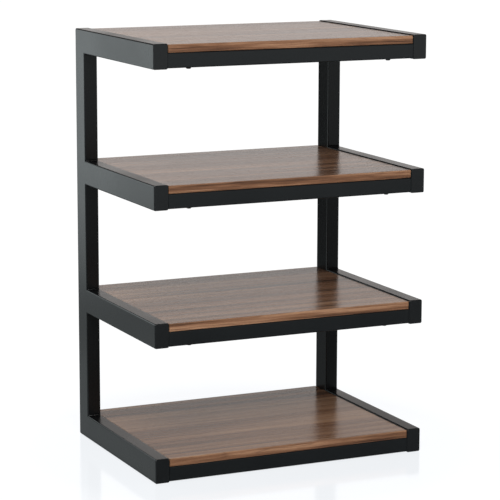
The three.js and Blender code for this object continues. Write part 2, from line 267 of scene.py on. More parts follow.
def grid_quads(rows, columns, close_rows=False):
    """Quads of a rows x columns grid of points, as an array of four indices each.

    Point (r, c) has the index r times columns plus c, and a quad joins (r, c), (r, c + 1), (r + 1, c + 1) and
    (r + 1, c). The columns close on themselves, and the rows do so too if asked.
    """
    row = np.arange(rows if close_rows else rows - 1)
    r, c = np.meshgrid(row, np.arange(columns), indexing="ij")
    next_r = (r + 1) % rows
    next_c = (c + 1) % columns
    corners = [r * columns + c, r * columns + next_c, next_r * columns + next_c, next_r * columns + c]
    return np.stack(corners, -1).reshape(-1, 4)


class Shell:
    """Collects closed grids of points that become one mesh."""

    def __init__(self):
        self.points = []
        self.faces = []
        self.edges = []
        self.count = 0

    def add(self, grid, closed_rows=False, edge=0.0):
        """Adds a grid of rings, each ring closed. Open stacks get their first and last ring filled.

        edge says how strongly a point takes the painted edge highlight, from 0 to 1, as one value, one for
        each ring or one for each column.
        """
        rows, columns, _ = grid.shape
        self.points.append(grid.reshape(-1, 3))
        self.edges.append(np.broadcast_to(edge, (rows, columns)).ravel())
        self.faces += (grid_quads(rows, columns, closed_rows) + self.count).tolist()
        if not closed_rows:
            first = np.arange(columns) + self.count
            last = first + (rows - 1) * columns
            self.faces += [first[::-1].tolist(), last.tolist()]
        self.count += rows * columns

    def mesh(self, name):
        """The collected grids as a mesh whose faces point outwards, with its edge values as an attribute."""
        mesh = bpy.data.meshes.new(name)
        mesh.from_pydata(np.concatenate(self.points).tolist(), [], self.faces)
        values = mesh.attributes.new("edge", "FLOAT", "POINT")
        values.data.foreach_set("value", np.concatenate(self.edges))
        outward = bmesh.new()
        outward.from_mesh(mesh)
        bmesh.ops.recalc_face_normals(outward, faces=outward.faces)
        outward.to_mesh(mesh)
        outward.free()
        return mesh


def piece(name, mesh, material, nodes):
    """A finished object that stands for CAD nodes, smooth on its round edges and flat between them."""
    obj = in_scene(name, mesh)
    mesh.materials.append(material)
    mesh.shade_smooth()
    mesh.set_sharp_from_angle(angle=SHARP_ANGLE)
    flat = obj.modifiers.new("flat faces", "WEIGHTED_NORMAL")
    flat.keep_sharp = True
    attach(obj, "root")
    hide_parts(*nodes)


def middle_and_half(node):
    """Middle and half size of a CAD node's box."""
    low, high = (np.array(corner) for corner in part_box(node))
    return (low + high) / 2, (high - low) / 2


def quarter(steps):
    """Angles of a quarter turn, from 0 to 90 degrees in equal steps."""
    return np.linspace(0, QUARTER_TURN, steps + 1)


def round_ring(half_a, half_b, radius, steps):
    """Rounded rectangle: each corner is its centre plus the radius times cosine and sine of the angle.

    The first three arguments may be arrays, one value for each ring of a stack.
    """
    sizes = (half_a, half_b, radius)
    half_a, half_b, radius = (np.atleast_1d(np.asarray(size, float))[:, None, None] for size in sizes)
    turn = np.arange(4)[None, :, None]
    angle = quarter(steps)[None, None, :] + turn * QUARTER_TURN
    sign_a = np.array([1, -1, -1, 1])[None, :, None]
    sign_b = np.array([1, 1, -1, -1])[None, :, None]
    a = sign_a * (half_a - radius) + radius * np.cos(angle)
    b = sign_b * (half_b - radius) + radius * np.sin(angle)
    return np.stack([a, b], -1).reshape(a.shape[0], -1, 2)


def ring_stack(axis, place, half_a, half_b, radius, centre, steps=CORNER_STEPS):
    """Rounded rectangles stacked along an axis: ring k lies at place[k] and has its own half sizes."""
    rings = round_ring(half_a, half_b, radius, steps)
    along = np.broadcast_to(np.asarray(place, float)[:, None], rings.shape[:2])
    a = rings[..., 0]
    b = rings[..., 1]
    columns = {"x": (along, a, b), "y": (a, along, b), "z": (a, b, along)}[axis]
    return np.stack(columns, -1) + np.asarray(centre, float)


def carried_profile(outline, inward, low_x, high_x, radius, steps=EDGE_STEPS):
    """A round-edged profile carried along a closed outline in Y and Z, with an edge value for each ring.

    Ring k lies at x = low + r (1 - cos a) and its points move inward by r (1 - sin a), with a from 0 to 90
    degrees; the other side mirrors it. The edge value is sin 2a.
    """
    angle = quarter(steps)
    inset = radius * (1 - np.sin(angle))
    inset = np.concatenate([inset, inset[::-1]])
    rise = radius * (1 - np.cos(angle))
    x = np.concatenate([low_x + rise, (high_x - rise)[::-1]])
    yz = outline[None] + inset[:, None, None] * inward[None]
    # the edge value sets how much of the painted edge highlight a ring takes
    edge = np.concatenate([np.sin(2 * angle), np.sin(2 * angle[::-1])])
    x = np.broadcast_to(x[:, None, None], yz.shape[:2] + (1,))
    return np.concatenate([x, yz], -1), edge[:, None]


def turned(profile, centre, flats=None):
    """A profile of [radius, height] turned round Z. Rings whose entry in flats is true are hexagons.

    A hexagon's reach at an angle t is its flat over cos((t mod 60) - 30).
    """
    radius, height = np.asarray(profile, float).T
    angle = np.linspace(0, FULL_TURN, TURNED_SEGMENTS, endpoint=False)
    reach = np.ones((len(radius), TURNED_SEGMENTS))
    if flats is not None:
        hexagon = 1 / np.cos(np.mod(angle, FULL_TURN / 6) - FULL_TURN / 12)
        reach[np.asarray(flats, bool)] = hexagon
    r = radius[:, None] * reach
    z = np.broadcast_to(height[:, None], r.shape)
    return np.stack([r * np.cos(angle), r * np.sin(angle), z], -1) + np.asarray(centre)


def cut_out(mesh, cutters):
    """The mesh with the cutting meshes taken away."""
    base = in_scene("base", mesh)
    others = []
    for cutter in cutters:
        other = in_scene("cutter", cutter)
        cut = base.modifiers.new("cut", "BOOLEAN")
        cut.operation = "DIFFERENCE"
        cut.object = other
        cut.solver = "EXACT"
        others.append(other)
    evaluated = base.evaluated_get(bpy.context.evaluated_depsgraph_get())
    result = bpy.data.meshes.new_from_object(evaluated)
    for obj in [base] + others:
        bpy.data.objects.remove(obj)
    return result


# Side frames

def frame_outline(tip, front, rear, levels):
    """Outline of a side frame in Y and Z with, for each point, the way in from the faces that meet there.

    It runs round the two rear corners, each its centre plus the radius times cosine and sine over a quarter
    turn, and then down the front, out and in again at each arm.
    """
    angle = quarter(EDGE_STEPS)
    low_way = np.stack([np.cos(angle - QUARTER_TURN), np.sin(angle - QUARTER_TURN)], -1)
    high_way = np.stack([np.cos(angle), np.sin(angle)], -1)
    top = levels[0][1]
    low_centre = np.array([rear - FRAME_CORNER, FRAME_CORNER])
    high_centre = np.array([rear - FRAME_CORNER, top - FRAME_CORNER])
    points = [low_centre + FRAME_CORNER * low_way, high_centre + FRAME_CORNER * high_way]
    inward = [-low_way, -high_way]
    for number, (bottom_z, top_z) in enumerate(levels):
        points.append([[tip, top_z], [tip, bottom_z]])
        inward.append([[0, -1], [0, 1]])
        if number < len(levels) - 1:
            points.append([[front, bottom_z], [front, levels[number + 1][1]]])
            inward.append([[1, 1], [1, -1]])
    return np.concatenate(points), np.concatenate(inward)


def weld_bead(low_x, high_x, y, z, way_y, way_z):
    """Fillet weld in an inside corner.

    In section its reach from the corner is leg (1 + bulge sin 2a) / (cos a + sin a) over a quarter turn.
    Along x the reach swells by 1 + rise cos(360 x / ripple) with a finer sine added, and tapers as the root
    of 1.02 - s^6, where s runs from -1 to 1. Each ripple bows along x by lag sin 2a.
    """
    x = np.linspace(low_x, high_x, WELD_RINGS)
    share = np.linspace(-1, 1, WELD_RINGS)
    ripple = WELD_RIPPLE_RISE * np.cos(FULL_TURN * (x - low_x) / WELD_RIPPLE)
    rough = WELD_ROUGH_RISE * np.sin(WELD_ROUGH_TURN * x / WELD_LEG + z * WELD_ROUGH_SHIFT)
    taper = np.sqrt(np.clip(WELD_TAPER_TOP - share**WELD_TAPER_POWER, 0, None))
    angle = quarter(WELD_STEPS)
    reach = WELD_LEG * (1 + WELD_BULGE * np.sin(2 * angle)) / (np.cos(angle) + np.sin(angle))
    reach = reach[None] * ((1 + ripple + rough) * taper)[:, None]
    arc_x = x[:, None] + WELD_LAG * WELD_LEG * np.sin(2 * angle)[None]
    arc_y = y + way_y * reach * np.cos(angle)[None]
    arc_z = z + way_z * reach * np.sin(angle)[None]
    arc = np.stack([arc_x, arc_y, arc_z], -1)
    root_y = np.full_like(x, y - way_y * WELD_SINK)
    root_z = np.full_like(x, z - way_z * WELD_SINK)
    root = np.stack([x, root_y, root_z], -1)[:, None]
    return np.concatenate([root, arc], 1)


def side_frame(side, sign, material):
    """A side frame: one profile carried round its outline, its spigots, and weld beads in its inside corners.

    A spigot is a stack of rounded squares along X, out along its outside, round the bevel at its open end and
    back along its bore. sign is -1 on the left and 1 on the right.
    """
    caps = [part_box(f"end_cap_{side}_{n}") for n in LEVELS]
    low_x = caps[0][0][0]
    high_x = caps[0][1][0]
    levels = [(low[2], high[2]) for low, high in caps]
    tip = caps[0][0][1] + CAP_FLANGE + CAP_SEAT
    rear = cad_box[1][1]
    front = rear - (levels[0][1] - levels[0][0])
    outline, inward = frame_outline(tip, front, rear, levels)
    shell = Shell()
    grid, edge = carried_profile(outline, inward, low_x, high_x, TUBE_CORNER)
    shell.add(grid, edge=edge)
    face = high_x if sign < 0 else low_x
    start = face + sign * SPIGOT_SINK
    end = face - sign * SPIGOT_LENGTH
    place = [start, end + sign * SPIGOT_BEVEL, end, end, face]
    half = SPIGOT_HALF - np.array([0, 0, SPIGOT_BEVEL, SPIGOT_WALL, SPIGOT_WALL])
    corner = np.full(len(place), SPIGOT_CORNER)
    for n in LEVELS:
        for row in ROWS:
            middle, _ = middle_and_half(f"{row}_rail_{n}")
            shell.add(ring_stack("x", place, half, half, corner, (0, middle[1], middle[2]), SPIGOT_STEPS))
    name = f"side_frame_{side}"
    nodes = [f"upright_{side}"] + [f"arm_{side}_{n}" for n in LEVELS]
    piece(name, shell.mesh(name), material, nodes)
    welds = Shell()
    low_end = low_x + WELD_INSET
    high_end = high_x - WELD_INSET
    for number, (bottom_z, top_z) in enumerate(levels):
        if number < len(levels) - 1:
            welds.add(weld_bead(low_end, high_end, front, bottom_z, -1, -1))
        if number > 0:
            welds.add(weld_bead(low_end, high_end, front, top_z, -1, 1))
    mesh = welds.mesh(f"weld_beads_{side}")
    beads = in_scene(mesh.name, mesh)
    mesh.materials.append(material)
    mesh.shade_smooth()
    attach(beads, "root")


def end_cap(side, n, material):
    """Rounded rectangles stacked along Y: the flange's round front edge, its flat back, then the finned plug.

    Ring k of the front edge lies at y = r (1 - cos a) and is smaller by r (1 - sin a), with a from 0 to 90
    degrees. The plug's rings go out over its fins, over its end and back along its bore.
    """
    node = f"end_cap_{side}_{n}"
    middle, half = middle_and_half(node)
    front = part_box(node)[0][1]
    angle = quarter(EDGE_STEPS)
    inset = CAP_ROUND * (1 - np.sin(angle))
    corner = np.maximum(TUBE_CORNER - inset, CAP_LEAST_CORNER)
    rings = list(zip(CAP_ROUND * (1 - np.cos(angle)), half[0] - inset, half[2] - inset, corner))
    rings.append((CAP_FLANGE - CAP_BEVEL, half[0], half[2], TUBE_CORNER))
    rings.append((CAP_FLANGE, half[0] - CAP_BEVEL, half[2] - CAP_BEVEL, TUBE_CORNER))
    plug = [(CAP_FLANGE, 0)]
    for fin in range(CAP_FINS):
        y = CAP_FLANGE + (fin + 0.5) * CAP_FIN_PITCH
        plug += [(y, 0), (y, CAP_FIN), (y + CAP_FIN, CAP_FIN), (y + CAP_FIN, 0)]
    plug += [(2 * half[1], 0), (2 * half[1], -CAP_WALL), (CAP_FLANGE, -CAP_WALL)]
    rings += [(y, CAP_PLUG_HALF_X + reach, CAP_PLUG_HALF_Z + reach, CAP_PLUG_CORNER) for y, reach in plug]
    place, half_x, half_z, radius = np.array(rings).T
    # the cap's round front edge takes the painted edge highlight
    edge = np.zeros((len(rings), 1))
    edge[: EDGE_STEPS + 1, 0] = np.sin(2 * angle)
    shell = Shell()
    shell.add(ring_stack("y", place, half_x, half_z, radius, (middle[0], front, middle[2])), edge=edge)
    name = f"cap_{side}_{n}"
    piece(name, shell.mesh(name), material, [node])


# Shelves

def cross_rail(row, n, material):
    """Rounded squares stacked along X, out along the outside of the tube and back along its bore.

    The lowest rails have a cone cut into their underside for each countersunk screw.
    """
    node = f"{row}_rail_{n}"
    low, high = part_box(node)
    middle, half = middle_and_half(node)
    end = RAIL_END_ROUND
    place = [low[0], low[0] + end / 3, low[0] + end,
             high[0] - end, high[0] - end / 3, high[0], high[0], low[0]]
    inset = np.array([end, end / 3, 0, 0, end / 3, end, RAIL_WALL, RAIL_WALL])
    radius = np.array([RAIL_CORNER] * 6 + [RAIL_CORNER - RAIL_WALL] * 2)
    centre = (0, middle[1], middle[2])
    shell = Shell()
    shell.add(ring_stack("x", place, half[1] - inset, half[2] - inset, radius, centre), closed_rows=True)
    name = f"rail_{row}_{n}"
    mesh = shell.mesh(name)
    if n == LOWEST_LEVEL:
        mouth = SINK_RADIUS + HOLE_CLEARANCE
        hole = SHANK_RADIUS + HOLE_CLEARANCE
        cone = [[mouth, -CUT_OVERRUN], [mouth, SINK_RIM],
                [hole, SINK_RIM + mouth - SHANK_RADIUS], [hole, HOLE_DEPTH]]
        cutters = []
        for side in SIDES:
            screw_middle, _ = middle_and_half(f"screw_{row}_{side}_{n}")
            cutter = Shell()
            cutter.add(turned(cone, (screw_middle[0], screw_middle[1], low[2])))
            cutters.append(cutter.mesh("cutter"))
        mesh = cut_out(mesh, cutters)
        mesh.name = name
    piece(name, mesh, material, [node])


def shelf_board(n, material):
    """Rectangles stacked along Z, with a small round edge at the top and the bottom.

    Ring k lies r (1 - cos a) above the underside and is smaller by r (1 - sin a); the top mirrors it.
    """
    node = f"shelf_board_{n}"
    low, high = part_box(node)
    middle, half = middle_and_half(node)
    angle = quarter(BOARD_EDGE_STEPS)
    rise = BOARD_EDGE * (1 - np.cos(angle))
    inset = BOARD_EDGE * (1 - np.sin(angle))
    inset = np.concatenate([inset, inset[::-1]])
    place = np.concatenate([low[2] + rise, (high[2] - rise)[::-1]])
    corner = np.full(len(place), BOARD_CORNER)
    shell = Shell()
    shell.add(ring_stack("z", place, half[0] - inset, half[1] - inset, corner, (middle[0], middle[1], 0)))
    name = f"board_{n}"
    piece(name, shell.mesh(name), material, [node])


def front_edging(n, material):
    """A D-shaped outline in Y and Z, round at both front edges, carried along X.

    The upper edge turns by r (1 - sin a) and r (1 - cos a) from the top to the front, and the lower edge from
    the front to the underside. Only the upper one gets a painted highlight, of strength sin 2a.
    """
    node = f"front_edging_{n}"
    low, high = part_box(node)
    angle = quarter(EDGE_STEPS)
    sine_part = EDGING_ROUND * (1 - np.sin(angle))
    cosine_part = EDGING_ROUND * (1 - np.cos(angle))
    upper = np.stack([low[1] + sine_part, high[2] - cosine_part], -1)
    lower = np.stack([low[1] + cosine_part, low[2] + sine_part], -1)
    upper_way = np.stack([np.sin(angle), -np.cos(angle)], -1)
    lower_way = np.stack([np.cos(angle), np.sin(angle)], -1)
    outline = np.concatenate([[[high[1], low[2]], [high[1], high[2]]], upper, lower])
    inward = np.concatenate([[[-1, 1], [-1, -1]], upper_way, lower_way])
    grid, _ = carried_profile(outline, inward, low[0], high[0], EDGING_END_ROUND, EDGING_END_STEPS)
    # painted highlight: only the upper round edge is paled, as if it caught the light and the lower one
    # didn't
    upper_highlight = np.concatenate([[0, 0], np.sin(2 * angle), np.zeros(EDGE_STEPS + 1)])
    shell = Shell()
    shell.add(grid, edge=upper_highlight[None])
    name = f"edging_{n}"
    piece(name, shell.mesh(name), material, [node])


def screw(row, side, n, material):
    """A turned profile from the bottom of its hexagon socket, round the head and up the shank.

    A button head's crown is at radius c + (R - c) sin a and h cos^0.8 a under its seat, with a from 0 to 90
    degrees. The lowest level has countersunk heads, which are cones.
    """
    node = f"screw_{row}_{side}_{n}"
    middle, _ = middle_and_half(node)
    low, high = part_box(node)
    bottom = low[2]
    tip = high[2]
    rings = [[SOCKET_POINT, bottom + SOCKET_DEPTH], [SOCKET_FLAT, bottom + SOCKET_SHOULDER],
             [SOCKET_FLAT, bottom + EDGE_BREAK], [SOCKET_FLAT + EDGE_BREAK, bottom]]
    hexagons = len(rings)
    if n == LOWEST_LEVEL:
        rings += [[SINK_RADIUS - EDGE_BREAK, bottom], [SINK_RADIUS, bottom + EDGE_BREAK],
                  [SINK_RADIUS, bottom + SINK_RIM],
                  [SHANK_RADIUS, bottom + SINK_RIM + SINK_RADIUS - SHANK_RADIUS]]
    else:
        seat = bottom + HEAD_HEIGHT
        angle = quarter(DOME_STEPS)
        dome_radius = CROWN_RADIUS + (HEAD_RADIUS - CROWN_RADIUS) * np.sin(angle)
        dome_height = seat - HEAD_HEIGHT * np.cos(angle) ** DOME_POWER
        rings += [*np.stack([dome_radius, dome_height], -1).tolist(), [SHANK_RADIUS, seat]]
    rings += [[SHANK_RADIUS, tip - TIP_CHAMFER], [SHANK_RADIUS - TIP_CHAMFER, tip]]
    flats = np.arange(len(rings)) < hexagons
    shell = Shell()
    shell.add(turned(rings, (middle[0], middle[1], 0), flats))
    name = f"bolt_{row}_{side}_{n}"
    piece(name, shell.mesh(name), material, [node])


# Shader nodes

def add(tree, kind, inputs=None, **settings):
    """A node with its settings made and its inputs set or linked."""
    node = tree.nodes.new(kind)
    for key, value in settings.items():
        setattr(node, key, value)
    for key, value in (inputs or {}).items():
        if isinstance(value, bpy.types.NodeSocket):
            tree.links.new(value, node.inputs[key])
        else:
            node.inputs[key].default_value = value
    return node


def math_node(tree, operation, a, b=0.0):
    """The outcome of one arithmetic step on a and b, or on a alone."""
    return add(tree, "ShaderNodeMath", {0: a, 1: b}, operation=operation).outputs[0]


def plus(tree, a, b):
    """a plus b."""
    return math_node(tree, "ADD", a, b)


def minus(tree, a, b):
    """a minus b."""
    return math_node(tree, "SUBTRACT", a, b)


def times(tree, a, b):
    """a times b."""
    return math_node(tree, "MULTIPLY", a, b)


def blend(tree, factor, a, b, kind="MIX"):
    """A colour that goes from a to b as the factor goes from 0 to 1."""
    inputs = {0: factor, 6: a, 7: b}
    return add(tree, "ShaderNodeMix", inputs, data_type="RGBA", blend_type=kind).outputs[2]


def span(tree, value, low, high, to_low=0.0, to_high=1.0):
    """A straight fade from to_low, up to the value low, to to_high, from the value high."""
    inputs = {"Value": value, "From Min": low, "From Max": high, "To Min": to_low, "To Max": to_high}
    return add(tree, "ShaderNodeMapRange", inputs).outputs["Result"]


def noise(tree, vector, scale, detail, roughness=0.5):
    """Noise on the vector stretched by scale, one number for each axis."""
    stretched = add(tree, "ShaderNodeVectorMath", {0: vector, 1: scale}, operation="MULTIPLY").outputs[0]
    inputs = {"Vector": stretched, "Scale": 1.0, "Detail": detail, "Roughness": roughness}
    return add(tree, "ShaderNodeTexNoise", inputs).outputs[0]


def object_place(tree):
    """Object coordinates."""
    return tree.nodes.new("ShaderNodeTexCoord").outputs["Object"]


def mix_shaders(tree, factor, a, b):
    """Shader a where the factor is 0 and shader b where it is 1."""
    return add(tree, "ShaderNodeMixShader", {0: factor, 1: a, 2: b}).outputs[0]


def new_group(name, inputs, outputs):
    """A shader node group with named sockets, and its input and output nodes."""
    group = bpy.data.node_groups.new(name, "ShaderNodeTree")
    for direction, sockets in (("INPUT", inputs), ("OUTPUT", outputs)):
        for label, kind, default in sockets:
            socket = group.interface.new_socket(label, in_out=direction, socket_type=f"NodeSocket{kind}")
            if default is not None:
                socket.default_value = default
    return group, group.nodes.new("NodeGroupInput"), group.nodes.new("NodeGroupOutput")


def coat_texture():
    """Powder coat: fine orange peel, a slow drift in tone and gloss, and sparse specks of dust.

    Tone and roughness are fades of a slow noise, the peel's height is 0.7 of a fine noise plus 0.3 of a finer
    one, and specks are the peaks of a third. A marked edge is a little paler, a painted highlight, and
    glossier.
    """
    group, source, sink = new_group(
        "coat texture",
        [("Vector", "Vector", None), ("Base", "Color", None), ("Edge", "Float", 0.0),
         ("Roughness", "Float", 0.4), ("Peel", "Float", 0.3)],
        [("Color", "Color", None), ("Roughness", "Float", None), ("Normal", "Vector", None)])
    vector = source.outputs["Vector"]
    edge = source.outputs["Edge"]
    drift = noise(group, vector, DRIFT_SCALE, 3)
    peel = noise(group, vector, PEEL_SCALE, 2)
    grit = noise(group, vector, GRIT_SCALE, 2)
    specks = span(group, noise(group, vector, SPECK_SCALE, 1), *SPECK_PEAKS)
    tone = span(group, drift, *DRIFT_TONE)
    base = blend(group, 1.0, source.outputs["Base"], tone, "MULTIPLY")
    # painted highlight: round edges are paled a little towards grey
    base = blend(group, times(group, edge, COAT_EDGE_HIGHLIGHT_TONE), base, EDGE_HIGHLIGHT_GREY)
    base = blend(group, times(group, specks, SPECK_SHARE), base, DUST)
    grain = plus(group, times(group, peel, PEEL_SHARE), times(group, grit, GRIT_SHARE))
    gloss = plus(group, source.outputs["Roughness"], span(group, drift, *DRIFT_GLOSS))
    gloss = plus(group, gloss, span(group, grit, *GRIT_GLOSS))
    gloss = minus(group, gloss, times(group, edge, COAT_EDGE_GLOSS))
    bump = {"Strength": source.outputs["Peel"], "Distance": PEEL_DEPTH, "Height": grain}
    group.links.new(base, sink.inputs["Color"])
    group.links.new(gloss, sink.inputs["Roughness"])
    group.links.new(add(group, "ShaderNodeBump", bump).outputs[0], sink.inputs["Normal"])
    return group


def walnut_grain():
    """Straight-grained walnut along the vector's x, across its y. z picks the stretch of log.

    Slow bands, streaks and fine lines are noise stretched along the grain, and they are summed to the tone
    that runs from dark through middle to light. Dark growth lines lie where a stretched noise, times a few
    turns, is halfway between two whole numbers. Pores are short dark dashes. Edge paints a pale highlight.
    """
    group, source, sink = new_group(
        "walnut grain",
        [("Vector", "Vector", None), ("Dark", "Color", None), ("Middle", "Color", None),
         ("Light", "Color", None), ("Edge", "Float", 0.0), ("Roughness", "Float", 0.3),
         ("Figure", "Float", 0.5), ("Pores", "Float", 0.4)],
        [("Color", "Color", None), ("Roughness", "Float", None), ("Height", "Float", None)])
    dark = source.outputs["Dark"]
    light = source.outputs["Light"]
    vector = source.outputs["Vector"]
    sway = span(group, noise(group, vector, SWAY_SCALE, 2), 0, 1, -SWAY_REACH, SWAY_REACH)
    shift = add(group, "ShaderNodeCombineXYZ", {"Y": sway}).outputs[0]
    vector = add(group, "ShaderNodeVectorMath", {0: vector, 1: shift}, operation="ADD").outputs[0]
    bands = noise(group, vector, BAND_SCALE, 2)
    streaks = noise(group, vector, STREAK_SCALE, 3, 0.55)
    lines = noise(group, vector, LINE_SCALE, 3, 0.6)
    growth = noise(group, vector, GROWTH_SCALE, 2, 0.45)
    pore = span(group, noise(group, vector, PORE_SCALE, 1), *PORE_PEAKS)
    tone = plus(group, times(group, bands, BAND_SHARE), times(group, streaks, STREAK_SHARE))
    tone = plus(group, tone, times(group, lines, LINE_SHARE))
    colour = blend(group, span(group, tone, *DARK_TO_MIDDLE), dark, source.outputs["Middle"])
    colour = blend(group, span(group, tone, *MIDDLE_TO_LIGHT), colour, light)
    turns = math_node(group, "FRACT", times(group, growth, GROWTH_TURNS))
    ring = span(group, math_node(group, "ABSOLUTE", minus(group, turns, 0.5)), *GROWTH_LINE)
    ring = times(group, ring, span(group, bands, *GROWTH_BY_BAND))
    colour = blend(group, times(group, ring, source.outputs["Figure"]), colour, dark)
    colour = blend(group, times(group, pore, source.outputs["Pores"]), colour, dark)
    # painted highlight: a marked edge goes towards the light tone
    colour = blend(group, times(group, source.outputs["Edge"], WOOD_EDGE_HIGHLIGHT_TONE), colour, light)
    gloss = plus(group, source.outputs["Roughness"], span(group, lines, *LINE_GLOSS))
    gloss = plus(group, gloss, times(group, pore, PORE_GLOSS))
    height = minus(group, times(group, lines, LINE_HEIGHT), times(group, pore, PORE_HEIGHT))
    group.links.new(colour, sink.inputs["Color"])
    group.links.new(gloss, sink.inputs["Roughness"])
    group.links.new(height, sink.inputs["Height"])
    return group


def new_material(name):
    """An empty material with its node tree and the Surface socket of its output."""
    material = bpy.data.materials.new(name)
    material.use_nodes = True
    tree = material.node_tree
    tree.nodes.clear()
    return material, tree, tree.nodes.new("ShaderNodeOutputMaterial").inputs["Surface"]


def edge_value(tree):
    """The piece's own edge attribute."""
    return add(tree, "ShaderNodeAttribute", attribute_name="edge").outputs["Fac"]


def coat_material(name, group, base, roughness, peel, specular, metallic=0.0):
    """A black finish: the coat texture on Object coordinates, in its own base colour and gloss."""
    material, tree, surface = new_material(name)
    coat = add(tree, "ShaderNodeGroup", node_tree=group)
    tree.links.new(object_place(tree), coat.inputs["Vector"])
    tree.links.new(edge_value(tree), coat.inputs["Edge"])
    coat.inputs["Base"].default_value = base
    coat.inputs["Roughness"].default_value = roughness
    coat.inputs["Peel"].default_value = peel
    shader = add(tree, "ShaderNodeBsdfPrincipled", {
        "Base Color": coat.outputs["Color"], "Roughness": coat.outputs["Roughness"],
        "Normal": coat.outputs["Normal"], "Specular IOR Level": specular, "Metallic": metallic})
    tree.links.new(shader.outputs[0], surface)
    return material


def wood_material(name, group, turn, scale, dark, middle, light, roughness, specular, figure, pores):
    """Walnut on Object coordinates. turn and scale lay the grain's x and y on the piece."""
    material, tree, surface = new_material(name)
    laid = {"Vector": object_place(tree), "Rotation": turn, "Scale": scale}
    place = add(tree, "ShaderNodeMapping", laid, vector_type="POINT")
    grain = add(tree, "ShaderNodeGroup", node_tree=group)
    tree.links.new(place.outputs[0], grain.inputs["Vector"])
    tree.links.new(edge_value(tree), grain.inputs["Edge"])
    grain.inputs["Dark"].default_value = dark
    grain.inputs["Middle"].default_value = middle
    grain.inputs["Light"].default_value = light
    grain.inputs["Roughness"].default_value = roughness
    grain.inputs["Figure"].default_value = figure
    grain.inputs["Pores"].default_value = pores
    relief = {"Strength": GRAIN_BUMP, "Distance": GRAIN_DEPTH, "Height": grain.outputs["Height"]}
    bump = add(tree, "ShaderNodeBump", relief)
    shader = add(tree, "ShaderNodeBsdfPrincipled", {
        "Base Color": grain.outputs["Color"], "Roughness": grain.outputs["Roughness"],
        "Normal": bump.outputs[0], "Specular IOR Level": specular})
    tree.links.new(shader.outputs[0], surface)
    return material


# Stage

def sheet(name, corners):
    """A flat sheet between four corners."""
    mesh = bpy.data.meshes.new(name)
    mesh.from_pydata(corners, [], [(0, 1, 2, 3)])
    return in_scene(name, mesh)


def mirrored_floor(tree, across, depth):
    """How bright the floor is that the pieces mirror: the sum of four regions, each a product of fades.

    Ahead it is pale far in front and dim near the rack, and dimmer still past the rack's left side. Beside
    the rack, at its left, it is pale. At its right it is pale where x + 0.9 y is large, and in front at the
    left where both x - 0.3 y and y - 0.7 x are small.
    """
    beside = times(tree, span(tree, across, *BESIDE_EDGE), span(tree, depth, *BESIDE_BACK))
    beside = times(tree, beside, span(tree, depth, *BESIDE_FRONT))
    slope = plus(tree, across, times(tree, depth, RIGHT_SLOPE))
    right = times(tree, span(tree, across, *RIGHT_EDGE), span(tree, slope, *RIGHT_FRONT))
    slant = minus(tree, across, times(tree, depth, LEFT_SLOPE))
    turn = minus(tree, depth, times(tree, across, LEFT_TURN))
    left = times(tree, span(tree, slant, *LEFT_EDGE), span(tree, turn, *LEFT_BACK))
    ahead = times(tree, span(tree, depth, *AHEAD_DEPTH), span(tree, across, *AHEAD_EDGE))
    return plus(tree, ahead, plus(tree, beside, plus(tree, left, right)))


def floor():
    """A plain pale floor with a faint gloss that turns plain white away from the rack.

    What the camera sees is blended towards white light by the distance from the rack, so that the shadow and
    the reflection stay near it. Near the rack that white light is faintly blue, which paints the shadow there
    blue. Glossy rays see the mirrored floor instead. From below the floor is clear.
    """
    reach = FLOOR_REACH
    obj = sheet("floor", [(-reach, -reach, FLOOR_LEVEL), (reach, -reach, FLOOR_LEVEL),
                          (reach, reach, FLOOR_LEVEL), (-reach, reach, FLOOR_LEVEL)])
    material, tree, surface = new_material("pale floor")
    shader = add(tree, "ShaderNodeBsdfPrincipled", {
        "Base Color": FLOOR_COLOUR, "Roughness": FLOOR_ROUGHNESS, "Specular IOR Level": 0.5,
        "Coat Weight": 1.0, "Coat Roughness": FLOOR_COAT_ROUGHNESS})
    where = object_place(tree)
    away = add(tree, "ShaderNodeVectorMath", {0: where}, operation="LENGTH").outputs["Value"]
    across, depth, _ = add(tree, "ShaderNodeSeparateXYZ", {0: where}).outputs
    ray = tree.nodes.new("ShaderNodeLightPath").outputs
    glow = {"Color": MIRROR_COLOUR, "Strength": mirrored_floor(tree, across, depth)}
    mirrored = add(tree, "ShaderNodeEmission", glow)
    plain = mix_shaders(tree, ray["Is Glossy Ray"], shader.outputs[0], mirrored.outputs[0])
    # painted shadow tone: near the rack the white light is faintly blue, so the shadow there looks blue
    tint = blend(tree, span(tree, away, FADE_START, FADE_END), SHADE_BLUE_NEAR_RACK, WHITE)
    strength = span(tree, away, FADE_START, FADE_END, *FLOOR_WHITE_STRENGTH)
    white = add(tree, "ShaderNodeEmission", {"Color": tint, "Strength": strength})
    share = span(tree, away, FADE_START, FADE_END, *FLOOR_WHITE_SHARE)
    seen = times(tree, ray["Is Camera Ray"], share)
    seen = plus(tree, seen, times(tree, ray["Is Diffuse Ray"], FLOOR_BOUNCE))
    mixed = mix_shaders(tree, seen, plain, white.outputs[0])
    below = tree.nodes.new("ShaderNodeNewGeometry").outputs["Backfacing"]
    clear = tree.nodes.new("ShaderNodeBsdfTransparent")
    tree.links.new(mix_shaders(tree, below, mixed, clear.outputs[0]), surface)
    obj.data.materials.append(material)


def side_panel():
    """A pale panel that stands behind the rack on its left, bright above and dimmer towards the floor.

    Only the pieces mirror it: its glow is a fade over the height, and the camera doesn't see it.
    """
    low = [(PANEL_LEFT, PANEL_DEPTH, PANEL_BOTTOM), (PANEL_RIGHT, PANEL_DEPTH, PANEL_BOTTOM)]
    high = [(PANEL_RIGHT, PANEL_DEPTH, PANEL_TOP), (PANEL_LEFT, PANEL_DEPTH, PANEL_TOP)]
    obj = sheet("side panel", low + high)
    material, tree, surface = new_material("side panel")
    height = add(tree, "ShaderNodeSeparateXYZ", {0: object_place(tree)}).outputs["Z"]
    glow = {"Color": MIRROR_COLOUR, "Strength": span(tree, height, *PANEL_GLOW)}
    tree.links.new(add(tree, "ShaderNodeEmission", glow).outputs[0], surface)
    obj.data.materials.append(material)
    obj.visible_camera = False


